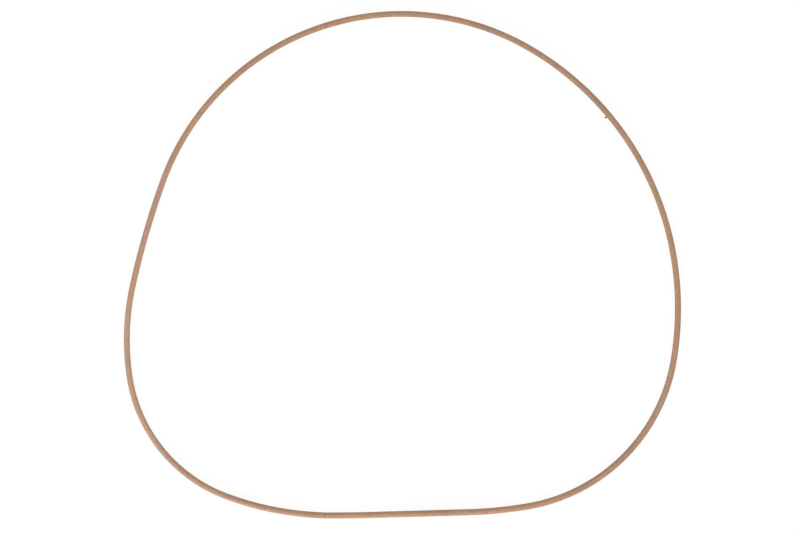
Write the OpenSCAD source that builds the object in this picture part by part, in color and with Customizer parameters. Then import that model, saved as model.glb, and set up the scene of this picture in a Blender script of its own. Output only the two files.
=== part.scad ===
// Valve cover gasket: one closed ring of round rubber, moulded in one piece,
// lying free on a flat surface. All lengths are in millimetres, angles in degrees.
// Seen from above, the centre line runs anticlockwise from the left end of the
// straight base, through ten arcs that meet without a corner, back to that end.
// The origin is under the middle of the ring's outer box, on the resting plane.

/* [Section] */
// Diameter of the round section
section_d = 4; // [2.5:0.1:6]

/* [Base] */
// Length of the straight stretch
base_len = 68; // [55:1:80]
// Slope at which the ring lies, from the X axis to the straight stretch
lie_slope = 1.6; // [-6:0.1:6]
// Radius of the soft bend that runs into the left end of the base
base_end_r = 690; // [500:5:900]
// Turn of that bend
base_end_turn = 2; // [1:0.5:4]

/* [Right side] */
// Radius of the foot, from the base to the lower right corner
right_foot_r = 290; // [240:1:340]
// Turn of the foot
right_foot_turn = 8; // [5:0.5:11]
// Radius of the lower right corner
right_corner_r = 119.5; // [110:0.5:130]
// Turn of the lower right corner
right_corner_turn = 71; // [64:0.5:78]
// Radius of the right side
right_side_r = 211; // [180:1:240]
// Turn of the right side
right_side_turn = 20; // [13:0.5:27]

/* [Top] */
// Turn of the shoulder on the right of the crown
shoulder_turn = 50; // [42:0.5:58]

/* [Left side] */
// Radius of the flatter flank below the crown
flank_r = 558; // [450:1:650]
// Turn of the flank
flank_turn = 7.5; // [5:0.5:10]
// Radius of the left side
left_side_r = 168; // [150:1:190]
// Turn of the left side
left_side_turn = 21; // [16:0.5:26]
// Radius of the lower left corner
left_corner_r = 101.5; // [92:0.5:112]
// Turn of the lower left corner
left_corner_turn = 61; // [54:0.5:68]
// Radius of the foot, from the lower left corner to the base
left_foot_r = 204.5; // [180:0.5:230]
// Turn of the foot
left_foot_turn = 20; // [14:0.5:26]

/* [Nib left by the mould] */
// Turn along the shoulder at which the nib stands
nib_turn = 28.85; // [5:0.05:45]
// Length of the nib from where it leaves the ring
nib_reach = 1.7; // [0.8:0.1:3]
// Width of the nib at its root
nib_root_w = 1; // [0.6:0.1:1.4]
// Width of the nib at its round tip
nib_tip_w = 0.85; // [0.3:0.05:1]
// Thickness of the nib
nib_t = 0.5; // [0.3:0.1:0.8]
// Lean of the nib from square to the ring
nib_lean = -29; // [-40:1:30]

/* [Hidden] */

section_r = section_d / 2;

// Length of the facets along the ring, and how many go round the section
facet_len = 3;
section_facets = 48;
tip_facets = 24;

// Depth of the nib's root inside the ring
nib_seat = section_r / 4;

rubber_tan = "#b18d76";
nib_brown = "#5f504b";

// Radii of the stretches in order, from the straight base. The two of 0 after it,
// the shoulder's and the crown's, are found below, because they close the ring.
set_radii = [
    0,
    right_foot_r, right_corner_r, right_side_r,
    0, 0,
    flank_r, left_side_r, left_corner_r, left_foot_r,
    base_end_r
];
last = len(set_radii) - 1;
closing = [for (i = [1:last]) if (set_radii[i] == 0) i];
shoulder = closing[0];
crown = closing[1];

// Turns in the same order. The crown takes what the others leave of the full circle.
set_turns = [
    0,
    right_foot_turn, right_corner_turn, right_side_turn,
    shoulder_turn, 0,
    flank_turn, left_side_turn, left_corner_turn, left_foot_turn,
    base_end_turn
];
turns = [for (i = [0:last]) i == crown ? 360 - total(set_turns) : set_turns[i]];

// Heading of the centre line where each stretch starts, from the straight base
headings = [for (i = [0:last]) total(turns, i)];

// What the set stretches leave open, and the two radii that close it
base_way = [base_len, 0];
open_way = base_way + total([for (i = [1:last]) arc_way(i, set_radii[i])]);
shoulder_way = arc_way(shoulder, 1);
crown_way = arc_way(crown, 1);
shoulder_r = cross(crown_way, open_way) / cross(shoulder_way, crown_way);
crown_r = cross(open_way, shoulder_way) / cross(shoulder_way, crown_way);

radii = [
    for (i = [0:last])
        i == shoulder ? shoulder_r : i == crown ? crown_r : set_radii[i]
];

// Ways of all stretches, and the points where they start, from the base's left end
ways = [for (i = [0:last]) i == 0 ? base_way : arc_way(i, radii[i])];
starts = [for (i = [0:last]) total(ways, i)];

// Middle of the outer box of the ring as it lies, from its outermost points
middle = [
    (outermost(90)[0] + outermost(270)[0]) / 2,
    (outermost(180)[1] + outermost(lie_slope > 0 ? 360 : 0)[1]) / 2
];

// Sum of the first n entries of a list, or of all of them
function total(list, n = undef, i = 0) =
    i == (n == undef ? len(list) : n) ? 0 * list[0] : list[i] + total(list, n, i + 1);

// Way from the start of arc i to its end, or over a smaller turn, at radius r
function arc_way(i, r, turn = undef) =
    let (from = headings[i], to = from + (turn == undef ? turns[i] : turn))
    r * [sin(to) - sin(from), cos(from) - cos(to)];

// Point of the centre line where it has turned by h from the straight base
function at_heading(h) =
    let (i = max([for (k = [1:last]) if (headings[k] <= h) k]))
    starts[i] + arc_way(i, radii[i], h - headings[i]);

// Point of the centre line as it lies, where it heads in a direction
function outermost(direction) =
    let (p = at_heading(direction - lie_slope))
    [
        p[0] * cos(lie_slope) - p[1] * sin(lie_slope),
        p[0] * sin(lie_slope) + p[1] * cos(lie_slope)
    ];

// Moves its children by whole millimetres, then by thousandths, then by the rest,
// so that no digit of the move is lost and the stretches meet face to face
module put_at(place) {
    whole = [for (x = place) floor(x)];
    fine = [for (x = place - whole) floor(x * 1000) / 1000];
    translate(whole) translate(fine) translate(place - whole - fine) children();
}

// The round section
module section() {
    circle(d = section_d, $fn = section_facets);
}

// The straight stretch at the base
module base() {
    rotate([90, 0, 90])
        linear_extrude(base_len)
            section();
}

// Arc i, swept round the centre of its own circle
module arc(i) {
    from = headings[i];
    centre = starts[i] + radii[i] * [-sin(from), cos(from)];
    put_at(centre)
        rotate_extrude(angle = turns[i], start = from - 90, $fn = ceil(2 * PI * radii[i] / facet_len))
            put_at([radii[i], 0])
                section();
}

// The whole ring of rubber
module ring() {
    base();
    for (i = [1:last]) arc(i);
}

// The nib at mid height, on the inner side of the shoulder, along its own X axis
module nib() {
    heading = headings[shoulder] + nib_turn;
    root = section_r - nib_seat;
    tip = section_r / cos(nib_lean) + nib_reach - nib_tip_w / 2;
    put_at(at_heading(heading))
        rotate(heading + 90 + nib_lean)
            translate([0, 0, -nib_t / 2])
                linear_extrude(nib_t) {
                    polygon([
                        [root, -nib_root_w / 2],
                        [tip, -nib_tip_w / 2],
                        [tip, nib_tip_w / 2],
                        [root, nib_root_w / 2]
                    ]);
                    translate([tip, 0]) circle(d = nib_tip_w, $fn = tip_facets);
                }
}

module gasket() {
    translate([-middle[0], -middle[1], section_r])
        rotate(lie_slope) {
            color(rubber_tan) ring();
            color(nib_brown) nib();
        }
}

gasket();
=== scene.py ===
"""A valve cover gasket: one closed ring of tan rubber, lying free on a white table and seen from above.

Lengths are in metres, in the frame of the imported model: +X to the right, +Y towards the crown,
+Z up from the table.
"""

import math
from bisect import bisect_right

import bmesh
import bpy
import numpy as np
from bpy.props import FloatProperty, FloatVectorProperty, PointerProperty
from bpy.types import Operator, Panel, PropertyGroup
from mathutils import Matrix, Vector, noise


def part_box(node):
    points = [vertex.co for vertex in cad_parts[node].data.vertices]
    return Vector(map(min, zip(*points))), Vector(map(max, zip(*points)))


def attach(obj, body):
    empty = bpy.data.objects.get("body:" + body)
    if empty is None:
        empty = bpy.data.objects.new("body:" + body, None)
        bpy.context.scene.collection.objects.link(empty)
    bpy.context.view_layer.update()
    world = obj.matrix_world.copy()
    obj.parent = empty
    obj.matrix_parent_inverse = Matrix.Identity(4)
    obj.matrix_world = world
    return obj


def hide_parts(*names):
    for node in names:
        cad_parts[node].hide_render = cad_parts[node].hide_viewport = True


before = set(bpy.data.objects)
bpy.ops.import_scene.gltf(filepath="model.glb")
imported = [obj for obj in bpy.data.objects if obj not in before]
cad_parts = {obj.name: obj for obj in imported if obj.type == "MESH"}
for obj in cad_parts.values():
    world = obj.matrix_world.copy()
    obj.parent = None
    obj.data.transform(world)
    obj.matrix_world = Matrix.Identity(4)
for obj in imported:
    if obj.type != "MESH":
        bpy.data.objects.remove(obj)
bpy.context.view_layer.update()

bl_info = {
    "name": "Valve Cover Gasket",
    "version": (1, 0, 0),
    "blender": (4, 5, 0),
    "location": "View3D > Sidebar > Gasket",
    "description": "Moulds a free valve cover gasket and lays it on a white table",
    "category": "Object",
}

MM = 0.001
RING, NIB, TABLE = "gasket_ring", "gasket_nib", "table"
# The name of each piece's own map
MAP = "OFBake"
# The two stretches whose radii close the ring
SHOULDER, CROWN = 4, 5
# How far the moulded ring may depart from the box of the node that it replaces
BOX_TOLERANCE = 0.3 * MM
SECTION_SIDES = 48
# Share of the radius under which a point of the section is level with its middle
LEVEL = 1e-6
# Angle between two faces from which the edge between them is sharp
SHARP_ANGLE = math.radians(55)
# Size under which an edge or a face is a sliver. Fusing the nib leaves a few at its root
SLIVER = 0.01 * MM

# The parting line comes and goes in waves with ripples on them, which differ between its two sides
PARTING_WAVE = 14 * MM
PARTING_RIPPLE = 3 * MM
RIPPLE_SHARE = 0.5
PARTING_CHANGE = 0.9
PARTING_LEAST = 0.2
PARTING_APART = 40 * MM

NIB_SIDES = 20
NIB_LOOPS = 18
# Steps between the last loop and the very tip, which a small face closes
NIB_CAP = 0.3
# Power of the sine in the section of the nib: 1 for an oval, and less for a fuller one
NIB_FULLNESS = 0.8
# Thickness of the nib at its root and tip, as shares of the one set
NIB_THICK_ROOT = 1.25
NIB_THIN_TIP = 0.8
# How far the tip curls down, how much wider the root flares out, and over what length
NIB_CURL = 0.12 * MM
NIB_FLARE = 0.45
NIB_FILLET = 0.2 * MM

# Levels between which nearly all of a noise lies
NOISE_LEVELS = 0.3, 0.7
# How far the noise of the yellows and the bloom is from that of the reds
CLOUDS_AWAY = 0.31, 0.17, 0.05
WHITE = 1, 1, 1, 1
# Width of the camera's sensor in millimetres
SENSOR_W = 36


def degrees(*angles):
    """Angles in degrees as radians."""
    return tuple(math.radians(angle) for angle in angles)


def millimetres(*lengths):
    """Lengths in millimetres as metres."""
    return tuple(length * MM for length in lengths)


def paint(red, green, blue):
    """A colour as a screen shows it, 0 to 255, in the linear light that shaders use."""
    seen = np.array((red, green, blue)) / 255
    return tuple(np.where(seen > 0.04045, ((seen + 0.055) / 1.055) ** 2.4, seen / 12.92))


class GasketRing(PropertyGroup):
    """The round section and the stretches of the centre line, anticlockwise from the straight base."""

    section_d: FloatProperty(
        name="Section diameter",
        description="Mean diameter of the round section",
        default=3.94 * MM, min=2.5 * MM, max=6 * MM, unit="LENGTH",
    )
    lie_slope: FloatProperty(
        name="Lie",
        description="Slope at which the straight base lies against the X axis",
        default=math.radians(1.6), unit="ROTATION",
    )
    sizes: FloatVectorProperty(
        name="Sizes",
        description="Length of the base, then the radii of the right foot, corner and side, the shoulder, "
        "the crown, and the left flank, side, corner, foot and base end. "
        "The two of 0 are solved to close the ring",
        default=millimetres(68, 290, 119.5, 211, 0, 0, 558, 168, 101.5, 204.5, 690),
        size=11, unit="LENGTH",
    )
    turns: FloatVectorProperty(
        name="Turns",
        description="Turns in the same order. The crown takes what the others leave of the full circle",
        default=degrees(0, 8, 71, 20, 50, 0, 7.5, 21, 61, 20, 2),
        size=11, unit="ROTATION",
    )
    swell: FloatVectorProperty(
        name="Swell",
        description="Shares by which the cord swells and thins once and twice round the ring",
        default=(0.033, 0.0175), size=2, min=0, max=0.1,
    )
    swell_towards: FloatVectorProperty(
        name="Swell towards",
        description="Directions from the middle of the ring in which the two swells are thickest",
        default=degrees(-65, -43), size=2, unit="ROTATION",
    )
    parting_h: FloatProperty(
        name="Parting line height",
        description="Height of the fine line that the two halves of the mould leave",
        default=0.045 * MM, min=0, max=0.2 * MM, unit="LENGTH",
    )
    parting_w: FloatProperty(
        name="Parting line width",
        description="Width of that line at its foot",
        default=0.22 * MM, min=0.1 * MM, max=0.5 * MM, unit="LENGTH",
    )
    facet: FloatProperty(
        name="Facet length",
        description="Length of the faces along the cord",
        default=0.9 * MM, min=0.5 * MM, max=5 * MM, unit="LENGTH",
    )


class GasketNib(PropertyGroup):
    """The sliver of flash that the mould left on the inner side of the shoulder."""

    turn: FloatProperty(
        name="Place", description="Turn along the shoulder at which the nib stands",
        default=math.radians(28.85), unit="ROTATION",
    )
    lean: FloatProperty(
        name="Lean", description="Lean of the nib from square to the ring",
        default=math.radians(-29), unit="ROTATION",
    )
    reach: FloatProperty(
        name="Reach", description="Length of the nib from where it leaves the ring",
        default=1.7 * MM, unit="LENGTH",
    )
    root_w: FloatProperty(
        name="Root width", description="Width of the nib at its root",
        default=1 * MM, unit="LENGTH",
    )
    tip_w: FloatProperty(
        name="Tip width", description="Width of the nib at its round tip",
        default=0.85 * MM, unit="LENGTH",
    )
    thickness: FloatProperty(
        name="Thickness", description="Thickness of the nib",
        default=0.5 * MM, unit="LENGTH",
    )


class GasketRubber(PropertyGroup):
    """The colours and the surface of the rubber."""

    rosy: FloatVectorProperty(
        name="Rosy tan", description="Pigment of the redder patches",
        default=paint(187, 128, 106), subtype="COLOR", min=0, max=1,
    )
    olive: FloatVectorProperty(
        name="Olive tan", description="Pigment of the greener patches",
        default=paint(160, 141, 107), subtype="COLOR", min=0, max=1,
    )
    honey: FloatVectorProperty(
        name="Honey tan", description="Pigment of the yellower patches",
        default=paint(177, 138, 88), subtype="COLOR", min=0, max=1,
    )
    bloom: FloatVectorProperty(
        name="Bloom", description="The greyish bloom between them",
        default=paint(169, 131, 121), subtype="COLOR", min=0, max=1,
    )
    # Painted light: a pale colour blended over the left side of the ring, so that this side looks more
    # brightly lit
    painted_light: FloatVectorProperty(
        name="Dust", description="Colour of the pale dust on the left side",
        default=paint(235, 205, 185), subtype="COLOR", min=0, max=1,
    )
    painted_light_share: FloatProperty(
        name="Dusting", description="Share of the rubber that the dust hides there",
        default=0.13, min=0, max=0.5,
    )
    painted_light_at: FloatVectorProperty(
        name="Dustiest at", description="Middle of the dusty side",
        default=millimetres(-233, -38, 2), size=3, unit="LENGTH",
    )
    painted_light_reach: FloatVectorProperty(
        name="Dusty reach", description="Distances from there at which the dust thins and ends",
        default=millimetres(50, 200), size=2, unit="LENGTH",
    )
    # Painted shade: the crown towards the upper right is made darker, as if less lit there
    painted_shade_share: FloatProperty(
        name="Rubbing", description="Share by which the rubbed crown is darker",
        default=0.09, min=0, max=0.5,
    )
    painted_shade_at: FloatVectorProperty(
        name="Rubbed at", description="Middle of the rubbed stretch",
        default=millimetres(113, 175, 2), size=3, unit="LENGTH",
    )
    painted_shade_reach: FloatVectorProperty(
        name="Rubbed reach", description="Distances from there at which the rubbing fades and ends",
        default=millimetres(40, 158), size=2, unit="LENGTH",
    )
    scorched: FloatVectorProperty(
        name="Scorched brown", description="The scorched rubber of the nib",
        default=paint(84, 72, 66), subtype="COLOR", min=0, max=1,
    )
    scorched_at: FloatProperty(
        name="Scorched at", description="Middle of the scorch, as a share of the nib's reach",
        default=0.62, min=0, max=1,
    )
    scorched_reach: FloatVectorProperty(
        name="Scorched reach",
        description="Distances from there at which the scorch fades and ends, in the same shares",
        default=(0.4, 0.68), size=2, min=0,
    )
    patch: FloatProperty(
        name="Patch size", description="Size of the patches of colour",
        default=4.7 * MM, unit="LENGTH",
    )
    fleck: FloatProperty(
        name="Fleck size", description="Size of the flecks of light and shade",
        default=1.1 * MM, unit="LENGTH",
    )
    fleck_shade: FloatVectorProperty(
        name="Fleck shade", description="Shade of the darkest and the lightest flecks",
        default=(0.78, 1.175), size=2, min=0,
    )
    broad: FloatProperty(
        name="Broad size", description="Size of the broad changes of shade along the cord",
        default=32 * MM, unit="LENGTH",
    )
    broad_shade: FloatVectorProperty(
        name="Broad shade", description="Darkest and lightest of those shades",
        default=(0.95, 1.05), size=2, min=0,
    )
    grain: FloatProperty(
        name="Grain size", description="Size of the fine grain of the surface",
        default=0.35 * MM, unit="LENGTH",
    )
    grain_depth: FloatProperty(
        name="Grain depth", description="Depth of the grain",
        default=0.04 * MM, unit="LENGTH",
    )
    roughness: FloatVectorProperty(
        name="Roughness", description="Roughness where the rubber is clean and where it has its bloom",
        default=(0.56, 0.68), size=2, min=0, max=1,
    )
    gloss: FloatProperty(
        name="Gloss", description="Level of the mirrored light", default=0.4, min=0, max=1,
    )


class GasketStage(PropertyGroup):
    """The table, the light and the camera."""

    view_w: FloatProperty(
        name="View width", description="Width that the picture takes in at the height of the ring",
        default=536.8 * MM, unit="LENGTH",
    )
    aim: FloatVectorProperty(
        name="Aim", description="Point under the middle of the picture",
        default=millimetres(-1.61, -1.23, 2), size=3, unit="LENGTH",
    )
    lens: FloatProperty(
        name="Lens", description="Focal length of the camera", default=85, unit="CAMERA",
    )
    lamp_at: FloatVectorProperty(
        name="Lamp", description="Place of the soft lamp, over the near left of the table",
        default=(-0.3, -1.1, 0.45), size=3, unit="LENGTH",
    )
    lamp_size: FloatProperty(
        name="Lamp size", description="Side of the square lamp", default=0.4, unit="LENGTH",
    )
    lamp_power: FloatProperty(
        name="Lamp power", description="Power of the lamp", default=6.2, unit="POWER",
    )
    sky: FloatProperty(
        name="Sky", description="Strength of the even light from all round", default=0.895,
    )
    table_side: FloatProperty(
        name="Table side", description="Side of the square table", default=8, unit="LENGTH",
    )
    table_white: FloatProperty(
        name="Table white", description="Share of the light that the table throws back",
        default=0.5, min=0, max=1,
    )
    table_glow: FloatProperty(
        name="Table glow", description="Strength of the plain white that is seen over the table",
        default=1.13, min=0,
    )
    glow_share: FloatProperty(
        name="Glow share", description="Share of that white. The rest is the table with its shadow",
        default=0.8, min=0, max=1,
    )


def settings(kind):
    """The settings of one kind: ring, nib, rubber or stage."""
    return getattr(bpy.context.scene, "gasket_" + kind)


def arc_way(heading, turn, radius):
    """The way from the start of an arc to its end."""
    end = heading + turn
    return radius * np.array((math.sin(end) - math.sin(heading), math.cos(heading) - math.cos(end)))


class CentreLine:
    """The centre line of the ring as it lies: the straight base and the ten arcs, closed."""

    def __init__(self, ring):
        self.facet = ring.facet
        self.sizes, self.turns = np.array(ring.sizes), np.array(ring.turns)
        self.turns[CROWN] = math.tau - self.turns.sum()
        self.headings = np.concatenate(([0], np.cumsum(self.turns)[:-1]))
        closing = [arc_way(self.headings[i], self.turns[i], 1) for i in (SHOULDER, CROWN)]
        open_way = sum(self.way(i, 1) for i in range(len(self.sizes)))
        self.sizes[[SHOULDER, CROWN]] = np.linalg.solve(np.transpose(closing), -open_way)
        ways = np.array([self.way(i, 1) for i in range(len(self.sizes))])
        self.starts = np.cumsum(ways, axis=0) - ways
        c, s = math.cos(ring.lie_slope), math.sin(ring.lie_slope)
        self.lie_slope, self.lie = ring.lie_slope, np.array(((c, -s), (s, c)))
        self.middle = np.zeros(2)
        points = np.array([point for point, heading in self.stations()])
        self.middle = (points.max(axis=0) + points.min(axis=0)) / 2

    def length(self, stretch):
        """Length of a stretch."""
        return self.sizes[stretch] * (self.turns[stretch] if stretch else 1)

    def way(self, stretch, share):
        """The way along a share of a stretch."""
        if stretch == 0:
            return np.array((share * self.sizes[0], 0.0))
        return arc_way(self.headings[stretch], share * self.turns[stretch], self.sizes[stretch])

    def at(self, stretch, share):
        """The point and the heading at a share of a stretch, as the ring lies."""
        point = self.lie @ (self.starts[stretch] + self.way(stretch, share)) - self.middle
        return point, self.headings[stretch] + share * self.turns[stretch] + self.lie_slope

    def stations(self):
        """Points and headings all round the ring, about one facet apart."""
        for stretch in range(len(self.sizes)):
            steps = math.ceil(self.length(stretch) / self.facet)
            for step in range(steps):
                yield self.at(stretch, step / steps)


def cord_radius(ring, point):
    """Radius of the cord at a point. It swells slowly towards the near right of the ring."""
    direction = math.atan2(point[1], point[0])
    swells = (
        share * math.cos(times * (direction - towards))
        for times, share, towards in zip((1, 2), ring.swell, ring.swell_towards)
    )
    return ring.section_d / 2 * (1 + sum(swells))


def section_angles(ring):
    """Angles of the section's points from the outer side up, with the feet of the two parting lines."""
    even = np.arange(SECTION_SIDES) * math.tau / SECTION_SIDES
    foot = ring.parting_w / ring.section_d
    feet = (foot, math.pi - foot, math.pi + foot, math.tau - foot)
    return np.sort(np.concatenate((even, feet)))


def parting_height(ring, point, side):
    """Height of the parting line at a point. It comes and goes, as flash does."""
    near = Vector((*point, side * PARTING_APART))
    change = noise.noise(near / PARTING_WAVE) + RIPPLE_SHARE * noise.noise(near / PARTING_RIPPLE)
    return ring.parting_h * max(PARTING_LEAST, 1 + PARTING_CHANGE * change)


class Rows:
    """A map that lays the long cord out in rows, so that a square holds it at one scale."""

    COUNT = 9
    # Share of the map's height kept for the nib, and share of a row's height left between rows
    NIB_BAND = 0.04
    GAP = 0.05
    # Start and length of the nib along its band, and its share of the band's height left free on each side
    NIB_FROM = 0.01
    NIB_LENGTH = 0.02
    NIB_MARGIN = 0.2

    def __init__(self, stations, sides):
        self.starts = [math.ceil(row * stations / self.COUNT) for row in range(self.COUNT + 1)]
        self.sides = sides
        self.height = (1 - self.NIB_BAND) / self.COUNT

    def place(self, station, step, side):
        """Where a corner lies: a step from a station along the cord, and a point of the section."""
        row = bisect_right(self.starts, station) - 1
        start, end = self.starts[row], self.starts[row + 1]
        across = self.GAP / 2 + side / self.sides * (1 - self.GAP)
        return (station + step - start) / (end - start), (row + across) * self.height

    @classmethod
    def place_nib(cls, along, side):
        """Where a corner of the nib lies, by its shares along the nib and round it."""
        across = cls.NIB_MARGIN + (1 - 2 * cls.NIB_MARGIN) * side
        return cls.NIB_FROM + cls.NIB_LENGTH * along, 1 - cls.NIB_BAND * across


def grid_faces(bm, loops, closed, place):
    """Smooth faces between neighbouring loops of points, mapped by place(loop, step, point)."""
    uv = bm.loops.layers.uv.new(MAP)
    count = len(loops[0])
    for i in range(len(loops) if closed else len(loops) - 1):
        near, far = loops[i], loops[(i + 1) % len(loops)]
        for k in range(count):
            after = (k + 1) % count
            face = bm.faces.new((near[k], far[k], far[after], near[after]))
            face.smooth = True
            for corner, (step, side) in zip(face.loops, ((0, 0), (1, 0), (1, 1), (0, 1))):
                corner[uv].uv = place(i, step, k + side)


def ring_mesh(ring):
    """The ring as one closed grid of faces."""
    angles = section_angles(ring)
    bm = bmesh.new()
    loops = []
    for point, heading in CentreLine(ring).stations():
        radius = cord_radius(ring, point)
        outward = np.array((math.sin(heading), -math.cos(heading)))
        loop = []
        for angle in angles:
            crest = abs(math.sin(angle)) < LEVEL
            reach = radius + (parting_height(ring, point, math.cos(angle)) if crest else 0)
            place = point + outward * reach * math.cos(angle)
            loop.append(bm.verts.new((*place, radius + reach * math.sin(angle))))
        loops.append(loop)
    grid_faces(bm, loops, True, Rows(len(loops), len(angles)).place)
    bmesh.ops.recalc_face_normals(bm, faces=bm.faces)
    mesh = bpy.data.meshes.new(RING)
    bm.to_mesh(mesh)
    bm.free()
    return mesh


def nib_place(ring, nib):
    """The nib's foot on the centre line, the way that it points, and how far off it leaves the ring."""
    line = CentreLine(ring)
    point, heading = line.at(SHOULDER, nib.turn / line.turns[SHOULDER])
    towards = heading + math.pi / 2 + nib.lean
    radius = cord_radius(ring, point)
    along = Vector((math.cos(towards), math.sin(towards), 0))
    return Vector((*point, radius)), along, radius / math.cos(nib.lean)


def blunt(x):
    """A cosine or sine made fuller, for a section between an oval and a slab."""
    return math.copysign(abs(x) ** NIB_FULLNESS, x)


def nib_mesh(ring, nib):
    """The nib: a tapering tongue with a flared root inside the ring and a round, slightly curled tip."""
    foot, along, out = nib_place(ring, nib)
    across, up = Vector((-along.y, along.x, 0)), Vector((0, 0, 1))
    radius, inwards, aside = foot.z, math.cos(nib.lean), math.sin(nib.lean)
    seat, tip = out - nib.root_w, out + nib.reach
    rounding = nib.tip_w / 2
    bm = bmesh.new()
    loops = []
    for step in range(NIB_LOOPS + 1):
        reach = seat + (tip - seat) * math.sin(math.pi / 2 * step / (NIB_LOOPS + NIB_CAP))
        taper = min(1, max(0, (reach - out) / nib.reach))
        width = nib.root_w + (nib.tip_w - nib.root_w) * taper
        height = nib.thickness * (NIB_THICK_ROOT + (NIB_THIN_TIP - NIB_THICK_ROOT) * taper)
        left = tip - reach
        end = math.sqrt(1 - (1 - left / rounding) ** 2) if left < rounding else 1
        curl = NIB_CURL * taper ** 2
        loop = []
        for k in range(NIB_SIDES):
            angle = math.tau * k / NIB_SIDES
            wide = blunt(math.cos(angle)) * width / 2 * end
            high = blunt(math.sin(angle)) * height / 2 * end
            off = math.hypot(reach * inwards - wide * aside, high) - radius
            flare = 1 + NIB_FLARE * math.exp(-max(0, off) / NIB_FILLET)
            place = foot + along * reach + across * wide * flare + up * (high * flare - curl)
            loop.append(bm.verts.new(place))
        loops.append(loop)

    def mapped(i, step, k):
        return Rows.place_nib((i + step) / NIB_LOOPS, k / NIB_SIDES)

    grid_faces(bm, loops, False, mapped)
    for loop in (loops[0], loops[-1]):
        bm.faces.new(loop)
    bmesh.ops.recalc_face_normals(bm, faces=bm.faces)
    mesh = bpy.data.meshes.new(NIB)
    bm.to_mesh(mesh)
    bm.free()
    return mesh


def close_slivers(mesh):
    """Closes up the edges and faces that are too thin to be seen."""
    bm = bmesh.new()
    bm.from_mesh(mesh)
    bmesh.ops.dissolve_degenerate(bm, dist=SLIVER, edges=bm.edges)
    bm.to_mesh(mesh)
    bm.free()


def shown(name, data):
    """A new object in the scene, in place of an earlier one of its name."""
    earlier = bpy.data.objects.get(name)
    if earlier:
        bpy.data.objects.remove(earlier)
    obj = bpy.data.objects.new(name, data)
    bpy.context.scene.collection.objects.link(obj)
    return obj


class Shader:
    """The node tree of a material or world, with its nodes made and linked in one step."""

    def __init__(self, owner):
        owner.use_nodes = True
        self.tree = owner.node_tree
        self.tree.nodes.clear()

    def node(self, kind, inputs=None, **options):
        """A node with its options, and its inputs set to values or linked to other nodes' outputs."""
        made = self.tree.nodes.new("ShaderNode" + kind)
        for name, value in options.items():
            setattr(made, name, value)
        for name, value in (inputs or {}).items():
            if isinstance(value, bpy.types.NodeSocket):
                self.tree.links.new(value, made.inputs[name])
            else:
                made.inputs[name].default_value = value
        return made

    def noise(self, place, size, detail=2.0, roughness=0.6):
        """The level of a noise whose features are about size across."""
        inputs = {"Vector": place, "Scale": 1 / size, "Detail": detail, "Roughness": roughness}
        return self.node("TexNoise", inputs).outputs[0]

    def ranged(self, value, before, after):
        """A value brought softly from one range to another, each a lowest and a highest value."""
        limits = zip(("From Min", "From Max", "To Min", "To Max"), (*before, *after))
        inputs = {"Value": value, **dict(limits)}
        return self.node("MapRange", inputs, interpolation_type="SMOOTHSTEP").outputs[0]

    def spread(self, level, after=(0.0, 1.0)):
        """A noise's level spread over a range."""
        return self.ranged(level, NOISE_LEVELS, after)

    def around(self, place, middle, reach, inside):
        """The value inside near a middle, going softly over into 1 between the two distances of reach."""
        away = self.node("VectorMath", {0: place, 1: middle}, operation="DISTANCE").outputs["Value"]
        return self.ranged(away, reach, (inside, 1.0))

    def blend(self, factor, first, second, how="MIX"):
        """Two colours blended. Of the node's many sockets, 6, 7 and 2 are the ones for colours."""
        made = self.node("Mix", {0: factor, 6: first, 7: second}, data_type="RGBA", blend_type=how)
        return made.outputs[2]

    def product(self, first, second):
        """Two values multiplied."""
        return self.node("Math", {0: first, 1: second}, operation="MULTIPLY").outputs[0]

    def larger(self, first, second):
        """The larger of two values."""
        return self.node("Math", {0: first, 1: second}, operation="MAXIMUM").outputs[0]

    def moved(self, place, way):
        """A place moved, so that two textures of one kind differ."""
        return self.node("VectorMath", {0: place, 1: way}, operation="ADD").outputs[0]

    def seen(self):
        """1 for rays from the camera and from mirrored or bent light, otherwise 0."""
        path = self.node("LightPath").outputs
        either = self.larger(path["Is Camera Ray"], path["Is Glossy Ray"])
        return self.larger(either, path["Is Transmission Ray"])


def opaque(colour):
    """A colour property as the four numbers that a colour socket takes."""
    return (*colour, 1)


def tan_colour(shader, place, clouds):
    """The rubber before the painted light: patches of rosy, olive and honey tan and of bloom, with flecks
    of shade and painted shade over the crown.
    """
    rubber = settings("rubber")
    patches = shader.noise(place, rubber.patch)
    flecks = shader.noise(place, rubber.fleck, detail=4.0, roughness=0.7)
    broad = shader.noise(place, rubber.broad, detail=1.0, roughness=0.5)
    reds = shader.blend(shader.spread(patches), opaque(rubber.olive), opaque(rubber.rosy))
    yellows = shader.blend(shader.spread(clouds), opaque(rubber.honey), opaque(rubber.bloom))
    # Painted shade: darker over the crown towards the upper right
    painted_shade = shader.around(place, rubber.painted_shade_at, rubber.painted_shade_reach, 1 - rubber.painted_shade_share)
    shade = shader.product(shader.spread(flecks, rubber.fleck_shade), painted_shade)
    shade = shader.product(shade, shader.spread(broad, rubber.broad_shade))
    light = shader.node("CombineColor", {0: shade, 1: shade, 2: shade}).outputs[0]
    return shader.blend(1.0, shader.blend(0.5, reds, yellows), light, "MULTIPLY")


def scorch_edge(shader, place):
    """0 in the scorched nib and 1 on the rest of the rubber."""
    rubber, nib = settings("rubber"), settings("nib")
    foot, along, out = nib_place(settings("ring"), nib)
    middle = foot + along * (out + rubber.scorched_at * nib.reach)
    reach = [share * nib.reach for share in rubber.scorched_reach]
    return shader.around(place, middle, reach, 0.0)


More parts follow.
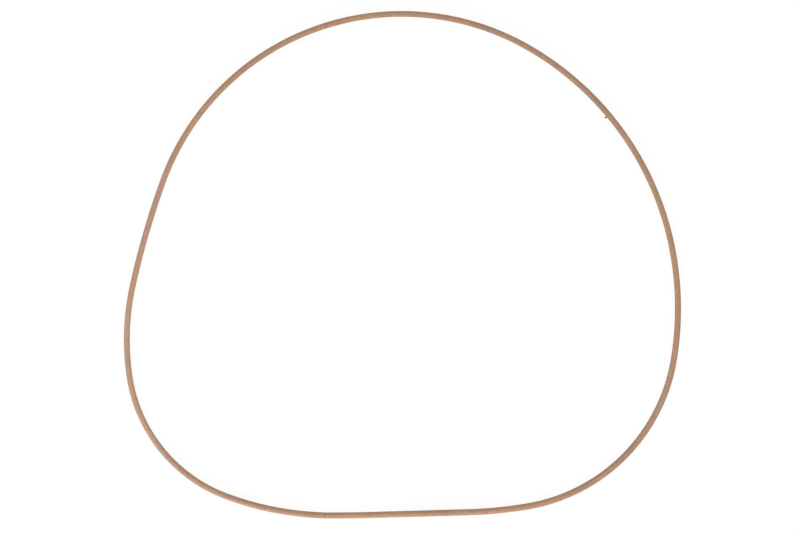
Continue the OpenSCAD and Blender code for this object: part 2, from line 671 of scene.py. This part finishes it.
def rubber_material():
    """Matte tan rubber with painted light that makes the left side paler, painted shade over the crown, a
    fine grain, and a scorched nib.
    """
    rubber = settings("rubber")
    material = bpy.data.materials.new("gasket_rubber")
    shader = Shader(material)
    place = shader.node("TexCoord").outputs["Object"]
    clouds = shader.noise(shader.moved(place, CLOUDS_AWAY), rubber.patch)
    # Painted light: the rubber is blended towards a pale colour near the left side
    clean = shader.around(place, rubber.painted_light_at, rubber.painted_light_reach, 1 - rubber.painted_light_share)
    with_painted_light = shader.blend(clean, opaque(rubber.painted_light), tan_colour(shader, place, clouds))
    colour = shader.blend(scorch_edge(shader, place), opaque(rubber.scorched), with_painted_light)
    grain = shader.noise(place, rubber.grain)
    bump = shader.node("Bump", {"Height": grain, "Strength": 1.0, "Distance": rubber.grain_depth})
    inputs = {
        "Base Color": colour,
        "Roughness": shader.spread(clouds, rubber.roughness),
        "Specular IOR Level": rubber.gloss,
        "Normal": bump.outputs[0],
    }
    surface = shader.node("BsdfPrincipled", inputs)
    shader.node("OutputMaterial", {"Surface": surface.outputs[0]})
    return material


def table_material():
    """A white table that is seen as plain white and still takes the ring's shadow."""
    stage = settings("stage")
    material = bpy.data.materials.new("table_white")
    shader = Shader(material)
    matte = shader.node("BsdfDiffuse", {"Color": opaque((stage.table_white,) * 3)})
    bright = shader.node("Emission", {"Color": WHITE, "Strength": stage.table_glow})
    factor = shader.product(shader.seen(), stage.glow_share)
    surface = shader.node("MixShader", {0: factor, 1: matte.outputs[0], 2: bright.outputs[0]})
    shader.node("OutputMaterial", {"Surface": surface.outputs[0]})
    return material


def light_sky():
    """An even white light from all round, seen as plain white."""
    world = bpy.data.worlds.new("studio")
    bpy.context.scene.world = world
    shader = Shader(world)
    inputs = {"Value": shader.seen(), "To Min": settings("stage").sky, "To Max": 1.0}
    strength = shader.node("MapRange", inputs).outputs[0]
    sky = shader.node("Background", {"Color": WHITE, "Strength": strength})
    shader.node("OutputWorld", {"Surface": sky.outputs[0]})


def hang_lamp():
    """The soft lamp over the near left of the table, turned to the middle of the ring."""
    stage = settings("stage")
    light = bpy.data.lights.new("lamp", "AREA")
    light.shape = "SQUARE"
    light.size = stage.lamp_size
    light.energy = stage.lamp_power
    lamp = shown("lamp", light)
    lamp.location = stage.lamp_at
    lamp.rotation_euler = (-lamp.location).to_track_quat("-Z", "Y").to_euler()
    lamp.visible_camera = False


def set_camera():
    """The camera straight above the ring."""
    stage = settings("stage")
    camera = bpy.data.cameras.new("camera")
    camera.lens = stage.lens
    camera.sensor_width = SENSOR_W
    eye = shown("camera", camera)
    eye.location = Vector(stage.aim) + Vector((0, 0, stage.view_w * camera.lens / SENSOR_W))
    bpy.context.scene.camera = eye


def check_box(mesh):
    """Raises an error if the moulded ring isn't where the node that it replaces is."""
    places = np.array([vertex.co for vertex in mesh.vertices])
    made = places.min(axis=0), places.max(axis=0)
    for corner, wanted in zip(made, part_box("gasket")):
        if np.abs(corner - np.array(wanted)).max() > BOX_TOLERANCE:
            raise RuntimeError(f"the ring's corner {corner} departs from the node's {tuple(wanted)}")


class GASKET_OT_mould_ring(Operator):
    """Moulds the ring in place of the plain solid"""

    bl_idname = "gasket.mould_ring"
    bl_label = "Mould the ring"

    def execute(self, context):
        ring = shown(RING, ring_mesh(settings("ring")))
        check_box(ring.data)
        ring.data.materials.append(rubber_material())
        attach(ring, "root")
        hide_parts("gasket")
        return {"FINISHED"}


class GASKET_OT_fuse_nib(Operator):
    """Fuses the nib into the ring, as one moulding"""

    bl_idname = "gasket.fuse_nib"
    bl_label = "Fuse the nib"

    def execute(self, context):
        ring = bpy.data.objects[RING]
        nib = shown(NIB, nib_mesh(settings("ring"), settings("nib")))
        union = ring.modifiers.new("nib", "BOOLEAN")
        union.operation, union.solver, union.object = "UNION", "EXACT", nib
        graph = context.evaluated_depsgraph_get()
        whole = ring.evaluated_get(graph)
        mesh = bpy.data.meshes.new_from_object(whole, preserve_all_data_layers=True, depsgraph=graph)
        if len(mesh.polygons) <= len(ring.data.polygons):
            raise RuntimeError("the nib didn't fuse into the ring")
        close_slivers(mesh)
        mesh.set_sharp_from_angle(angle=SHARP_ANGLE)
        ring.modifiers.remove(union)
        ring.data = mesh
        bpy.data.objects.remove(nib)
        return {"FINISHED"}


class GASKET_OT_set_stage(Operator):
    """Lays the white table and sets the light and the camera"""

    bl_idname = "gasket.set_stage"
    bl_label = "Set the stage"

    def execute(self, context):
        context.scene.view_settings.view_transform = "Standard"
        bm = bmesh.new()
        bmesh.ops.create_grid(bm, x_segments=1, y_segments=1, size=settings("stage").table_side / 2)
        mesh = bpy.data.meshes.new(TABLE)
        bm.to_mesh(mesh)
        bm.free()
        table = shown(TABLE, mesh)
        mesh.materials.append(table_material())
        light_sky()
        hang_lamp()
        set_camera()
        return {"FINISHED"}


class GASKET_PT_gasket(Panel):
    """Sizes, colours and light of the gasket"""

    bl_idname = "GASKET_PT_gasket"
    bl_label = "Valve cover gasket"
    bl_space_type = "VIEW_3D"
    bl_region_type = "UI"
    bl_category = "Gasket"

    def draw(self, context):
        for kind, operators in GROUPS:
            box = self.layout.box()
            group = settings(kind)
            for name in group.__annotations__:
                box.prop(group, name)
            for operator in operators:
                box.operator(operator.bl_idname)


GROUPS = (
    ("rubber", ()),
    ("ring", (GASKET_OT_mould_ring,)),
    ("nib", (GASKET_OT_fuse_nib,)),
    ("stage", (GASKET_OT_set_stage,)),
)
PROPERTY_GROUPS = {"ring": GasketRing, "nib": GasketNib, "rubber": GasketRubber, "stage": GasketStage}
OPERATORS = GASKET_OT_mould_ring, GASKET_OT_fuse_nib, GASKET_OT_set_stage
CLASSES = *PROPERTY_GROUPS.values(), *OPERATORS, GASKET_PT_gasket


def register():
    """Registers the classes and gives the scene its settings."""
    for each in CLASSES:
        bpy.utils.register_class(each)
    for kind, group in PROPERTY_GROUPS.items():
        setattr(bpy.types.Scene, "gasket_" + kind, PointerProperty(type=group))


def unregister():
    """Takes the settings and the classes away again."""
    for kind in PROPERTY_GROUPS:
        delattr(bpy.types.Scene, "gasket_" + kind)
    for each in reversed(CLASSES):
        bpy.utils.unregister_class(each)


def main():
    """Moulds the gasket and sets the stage."""
    register()
    bpy.ops.gasket.mould_ring()
    bpy.ops.gasket.fuse_nib()
    bpy.ops.gasket.set_stage()
    bpy.context.view_layer.update()


if __name__ == "__main__":
    main()
